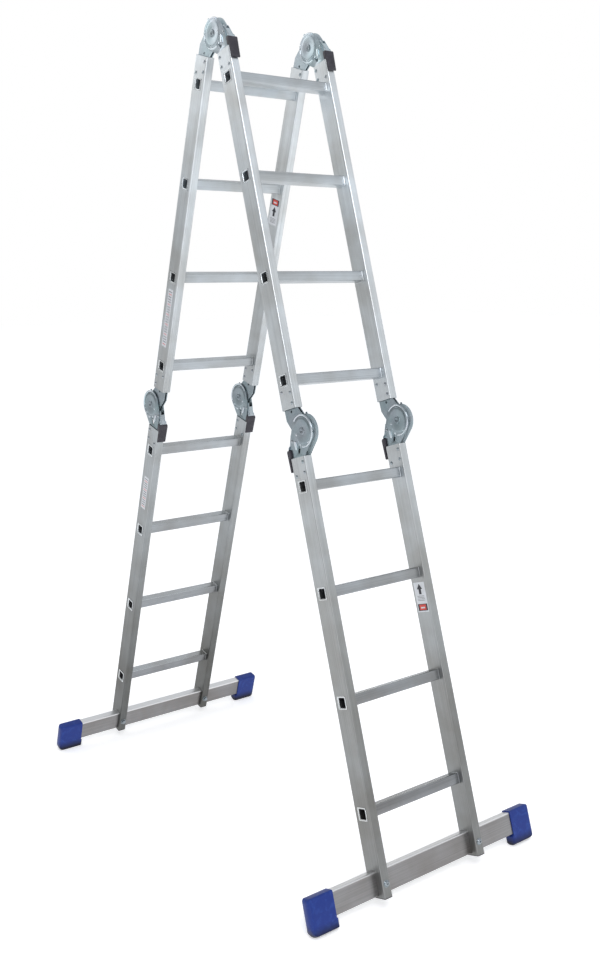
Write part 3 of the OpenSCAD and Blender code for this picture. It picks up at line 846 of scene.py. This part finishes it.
def hexagon(across_flats, x0, x1):
    """A hexagon nut or head between two distances along X, with its corners turned down."""
    mesh = bmesh.new()
    radius = across_flats / math.sqrt(3)
    bmesh.ops.create_cone(
        mesh, cap_ends=True, segments=6, radius1=radius, radius2=radius, depth=x1 - x0,
        matrix=Matrix.Translation(((x0 + x1) / 2, 0, 0)) @ Matrix.Rotation(math.radians(90), 4, "Y"),
    )
    rims = [e for e in mesh.edges if abs(e.verts[0].co.x - e.verts[1].co.x) < 0.01]
    bmesh.ops.bevel(mesh, geom=rims, offset=0.6, affect="EDGES", segments=2, profile=0.5, material=-1)
    return mesh


def bar_bolt():
    """The bolt along X: its button head at +X, its nut and washer at -X."""
    outer, inner = pivot_offset + stile_d, pivot_offset
    head = turned([
        (0, outer + 2.6), (2.3, outer + 2.6), (2.6, outer + 4.1), (3.6, outer + 4.4), (5.8, outer + 3.6),
        (7.2, outer + 2.2), (7.5, outer + 1.3), (7.5, outer + 1.1), (0, outer + 1.1),
    ])
    washers = [
        turned([(0, far), (8.6, far), (9, far - 0.3), (9, near + 0.2), (8.7, near), (0, near)])
        for near, far in ((outer + 0.02, outer + 1.15), (inner - 1.25, inner - 0.02))
    ]
    thread = [(0, inner - 7)]
    for k in range(7):
        thread += [(3.4, inner - 6.9 + k), (4, inner - 6.5 + k)]
    shank = turned(thread + [(4, outer + 1.2), (0, outer + 1.2)], 20)
    return joined([head, *washers, hexagon(13, inner - 6.3, inner - 1.2), shank])


rivet_steel = zinc_plate("rivet_steel", (0.3, 0.32, 0.34), (0.42, 0.45, 0.47), 0.15)
bolt = bar_bolt()
bolt_places = [
    Matrix.Translation((sides[side] * stile_x / 1000, 0, -bar_s / 1000)) @ upright.inverted()
    for side in sides
]
upper_end = Matrix.Translation(middle) @ Matrix.Rotation(math.radians(180), 4, "X")
lower_end = Matrix.Translation(middle) @ mirror_y
stile_places = [Matrix.Translation((sides[side] * stile_x / 1000, 0, 0)) for side in sides]
for ladder, place in ladders.items():
    upper = [(rivet_set, place @ stile) for stile in stile_places]
    upper += [(rivet_set, place @ stile @ upper_end) for stile in stile_places]
    if ladder == "front":
        upper += [(lever_rivet, place @ stile) for stile in stile_places]
    settle(
        f"{ladder}_upper_domed_rivets", copies(upper), [rivet_steel], f"{ladder}_upper_section",
        [f"{ladder}_upper_rivets"],
    )
    lower = [
        (shape, place @ stile @ lower_end)
        for stile in stile_places for shape in (rivet_set, lever_rivet)
    ]
    lower += [(bolt, place @ bolt_place) for bolt_place in bolt_places]
    settle(
        f"{ladder}_lower_rivets_and_bolts", copies(lower), [rivet_steel], f"{ladder}_lower_section",
        [f"{ladder}_lower_fasteners"],
    )

# ---- Stabiliser bars -------------------------------------------------------------------
# A flat aluminium box tube passes through a window in each lower stile and spreads the
# ladder's stance. Its drawing lines run from foot to foot, and its upper edge has a painted
# highlight.
bar_n, bar_h = 31, 60


def paint_edge_highlight(material, centre, lean):
    """Paints a highlight along the upper edge of the bar."""
    shader = material.node_tree.nodes["Principled BSDF"]
    colour = shader.inputs["Base Color"].links[0].from_socket
    place = add_node(material, "ShaderNodeTexCoord").outputs["Object"]
    local = add_node(material, "ShaderNodeMapping", Location=centre, Rotation=(lean, 0, 0))
    local.vector_type = "TEXTURE"
    link(material, place, local.inputs["Vector"])
    height = add_node(material, "ShaderNodeSeparateXYZ")
    link(material, local.outputs["Vector"], height.inputs["Vector"])
    top = bar_h / 2000
    edge = add_node(material, "ShaderNodeMapRange", From_Min=top - 0.005, From_Max=top - 0.001)
    link(material, height.outputs["Z"], edge.inputs["Value"])
    mix = add_node(material, "ShaderNodeMix")
    mix.data_type = "RGBA"
    mix.inputs["B"].default_value = (0.85, 0.85, 0.85, 1)
    link(material, edge.outputs["Result"], mix.inputs["Factor"])
    link(material, colour, mix.inputs["A"])
    link(material, mix.outputs["Result"], shader.inputs["Base Color"])


for ladder, lean in leans.items():
    bar_mill = drawn_metal(
        f"{ladder}_bar_mill", lean, (0.45, 0.0014, 0.0014), (0.31, 0.298, 0.3), (0.6, 0.6, 0.58), 0.34
    )
    # A painted highlight along the bar's upper edge.
    paint_edge_highlight(bar_mill, ladders[ladder] @ Vector((0, -bar_n / 1000, -bar_s / 1000)), lean)
    finish_cad(f"{ladder}_stabiliser_bar", bar_mill)

# ---- Feet ------------------------------------------------------------------------------
# A blue moulded foot is pushed on each end of the bar: a socket with soft corners over a
# thick block with a curved sole. The blue is painted nearly black near the floor, as painted shade under
# the curved sole.
foot_half_t, foot_top_s, sole_s, sole_r = 15.5, 2242, 2310, 26
seam, foot_l, foot_flare = 315, 76, 5
socket_end_s = 2308.5


def foot_outline():
    """End view, as [outwards, down]: soft top corners and a sole on one arc."""
    corner = 5
    reach = math.degrees(math.acos(foot_half_t / sole_r))
    top_s = foot_top_s + corner
    return (
        arc((-foot_half_t + corner, top_s), corner, 180, 270, 5)
        + arc((foot_half_t - corner, top_s), corner, 270, 360, 5)
        + arc((0, sole_s), sole_r, reach, 180 - reach, 16)
    )


def foot_ring(x, inset, lift):
    """The foot's outline at one station, drawn in all round, with its sole lifted."""
    above, below = 45, 49
    centre = foot_top_s + above
    ring = []
    for out, down in foot_outline():
        reach = down - centre
        span = below if reach > 0 else above
        short = inset + (lift if reach > 0 else 0)
        ring.append((x, -bar_n - out * (1 - inset / foot_half_t), -centre - reach * (1 - short / span)))
    return ring


def foot_shape():
    """The foot on the +X side, in the ladder's frame."""
    soft, toe_soft, step_soft = 9, 19, 4.8
    socket_wall, socket_end = 2.9, 9.5
    rings = [foot_ring(seam, 0, 0), foot_ring(seam + foot_l - toe_soft, 0, 0)]
    for step in range(1, 10):
        ahead = step / 9 * toe_soft
        lift = toe_soft - math.sqrt(toe_soft**2 - ahead**2)
        inside = max(0, ahead - toe_soft + soft)
        inset = soft - math.sqrt(soft**2 - inside**2)
        rings.append(foot_ring(seam + foot_l - toe_soft + ahead, inset, 0.7 * lift))
    mesh = loft(rings)
    bmesh.ops.holes_fill(mesh, edges=[e for e in mesh.edges if e.is_boundary], sides=0)
    bmesh.ops.bisect_plane(
        mesh, geom=mesh.verts[:] + mesh.edges[:] + mesh.faces[:], dist=0.001,
        plane_co=(0, 0, -socket_end_s), plane_no=(0, 0, 1),
    )
    inner = [f for f in mesh.faces if all(abs(v.co.x - seam) < 0.01 for v in f.verts)]
    low = [f for f in inner if f.calc_center_median().z < -socket_end_s]
    high = [f for f in inner if f.calc_center_median().z > -socket_end_s]
    step = bmesh.ops.extrude_face_region(mesh, geom=low)
    stepped = [v for v in step["geom"] if isinstance(v, bmesh.types.BMVert)]
    bmesh.ops.delete(mesh, geom=low, context="FACES_ONLY")
    bmesh.ops.translate(mesh, verts=stepped, vec=(-foot_flare, 0, 0))
    toe = [e for e in mesh.edges if all(v.co.x < seam - foot_flare + 0.01 for v in e.verts)]
    bmesh.ops.bevel(
        mesh, geom=toe, offset=step_soft, affect="EDGES", segments=5, profile=0.5, material=-1,
    )
    bmesh.ops.inset_region(mesh, faces=high, thickness=socket_wall, use_even_offset=True)
    sunk = bmesh.ops.extrude_face_region(mesh, geom=high)
    bottom = [v for v in sunk["geom"] if isinstance(v, bmesh.types.BMVert)]
    bmesh.ops.delete(mesh, geom=high, context="FACES_ONLY")
    bmesh.ops.translate(mesh, verts=bottom, vec=(foot_l - socket_end, 0, 0))
    bmesh.ops.remove_doubles(mesh, verts=mesh.verts, dist=0.001)
    bmesh.ops.recalc_face_normals(mesh, faces=mesh.faces)
    return mesh


def foot_plastic():
    """Blue plastic with painted shade that darkens it to nearly black over the last 30 mm above the
    floor.
    """
    material = moulded_plastic("foot_blue", (0.008, 0.028, 0.19), (0.02, 0.065, 0.29), 0.32, 1100.0)
    shader = material.node_tree.nodes["Principled BSDF"]
    shader.inputs["Specular IOR Level"].default_value = 0.28
    colour = shader.inputs["Base Color"].links[0].from_socket
    place = add_node(material, "ShaderNodeTexCoord").outputs["Object"]
    height = add_node(material, "ShaderNodeSeparateXYZ")
    link(material, place, height.inputs["Vector"])
    # Painted shade: the blue darkens to nearly black towards the floor, where the sole curves away from
    # the light.
    painted_shade = two_tones(material, height.outputs["Z"], (0.09, 0.07, 0.09), (1, 1, 1), 0.007, 0.03)
    mix = add_node(material, "ShaderNodeMix")
    mix.data_type, mix.blend_type = "RGBA", "MULTIPLY"
    mix.inputs["Factor"].default_value = 1.0
    link(material, colour, mix.inputs["A"])
    link(material, painted_shade, mix.inputs["B"])
    link(material, mix.outputs["Result"], shader.inputs["Base Color"])
    return material


foot_blue = foot_plastic()
foot = foot_shape()
mirror_x = Matrix.Scale(-1, 4, (1, 0, 0))
for ladder, place in ladders.items():
    for side, turn in (("left", mirror_x), ("right", Matrix.Identity(4))):
        mesh = copies([(foot, place @ turn)])
        bmesh.ops.bisect_plane(
            mesh, geom=mesh.verts[:] + mesh.edges[:] + mesh.faces[:], dist=1e-6,
            plane_co=(0, 0, 0), plane_no=(0, 0, -1), clear_outer=True,
        )
        bmesh.ops.holes_fill(mesh, edges=[e for e in mesh.edges if e.is_boundary], sides=0)
        bmesh.ops.recalc_face_normals(mesh, faces=mesh.faces)
        settle(
            f"{ladder}_{side}_moulded_foot", mesh, [foot_blue], f"{ladder}_lower_section",
            [f"{ladder}_{side}_foot"],
        )

# ---- Stile plugs -----------------------------------------------------------------------
# A black moulded plug closes the lower end of each stile, and its thin edge shows all round.
for ladder in ladders:
    finish_cad(f"{ladder}_stile_plugs", pad_black)

# ---- Labels ----------------------------------------------------------------------------
# Printed foil labels are stuck on the sides of the stiles. Here they are plain: a pale foil,
# two with an arrow and a red panel, and the long ones with bare ruled lines.


def foil(name, colour, roughness):
    """Printed foil, with its colour slightly faded in patches."""
    material, shader, place = new_material(name, roughness)
    mottle = add_node(material, "ShaderNodeTexNoise", Scale=60.0, Detail=4.0)
    link(material, place, mottle.inputs["Vector"])
    faded = tuple(0.86 * channel for channel in colour)
    link(
        material, two_tones(material, mottle.outputs["Fac"], faded, colour),
        shader.inputs["Base Color"],
    )
    return material


label_materials = [
    foil("label_foil", (0.62, 0.64, 0.67), 0.35),
    foil("label_black", (0.012, 0.012, 0.02), 0.4),
    foil("label_red", (0.6, 0.05, 0.035), 0.4),
]


def patch(x, thick, outline, material_index):
    """One printed patch on the face at x, from an outline centred on its label."""
    shape = plate(x, x + thick, outline)
    for face in shape.faces:
        face.material_index = material_index
    return shape


def oblong(across, along, half_across, half_along):
    """A rectangle's corners, from its centre and half sides."""
    return [
        (across - half_across, along - half_along), (across + half_across, along - half_along),
        (across + half_across, along + half_along), (across - half_across, along + half_along),
    ]


def arrow_label(x, out, arrow_v, lines_v, panel_v):
    """A foil with an arrow that points up the ladder, four ruled lines and a red panel."""
    head = [(0, -15), (11, 0), (5, 0), (5, 14), (-5, 14), (-5, 0), (-11, 0)]
    return [
        patch(x, 0.15 * out, oblong(0, 0, 22, 41), 0),
        patch(x, 0.25 * out, [(across, along + arrow_v) for across, along in head], 1),
        *[patch(x, 0.25 * out, oblong(0, lines_v + 4 * k, 14, 0.5), 1) for k in range(4)],
        patch(x, 0.25 * out, oblong(0, panel_v, 19, 9.5), 1),
        patch(x, 0.32 * out, oblong(0, panel_v, 13, 7.5), 2),
        patch(x, 0.4 * out, oblong(0, panel_v + 1, 8, 2), 0),
    ]


def ruled_label(x, out, half_long, lines):
    """A long foil with ruled lines across it, every fourth one red."""
    ruled = [patch(x, 0.15 * out, oblong(0, 0, 13, half_long), 0)]
    for k in range(lines):
        v = -half_long + 8 + k * (2 * half_long - 16) / (lines - 1)
        ruled.append(patch(x, 0.25 * out, oblong(0, v, 9, 1), 2 if k % 4 == 1 else 1))
    return ruled


inner_x, outer_x = ladder_half - stile_w, -ladder_half
label_places = {
    "front_lower_arrow_label": ("front", "lower", 1612, arrow_label(inner_x, -1, -22, -3, 28)),
    "rear_upper_arrow_label": ("rear", "upper", 493, arrow_label(inner_x, -1, 0, 21, -29)),
    "rear_upper_ruled_label": ("rear", "upper", 828, ruled_label(outer_x, -1, 90, 22)),
    "rear_lower_ruled_label": ("rear", "lower", 1412, ruled_label(outer_x, -1, 55, 14)),
}
for name, (ladder, section, along, patches) in label_places.items():
    place = ladders[ladder] @ Matrix.Translation((0, -stile_n / 1000, -along / 1000))
    settle(
        name, copies([(joined(patches), place)]), label_materials, f"{ladder}_{section}_section",
    )
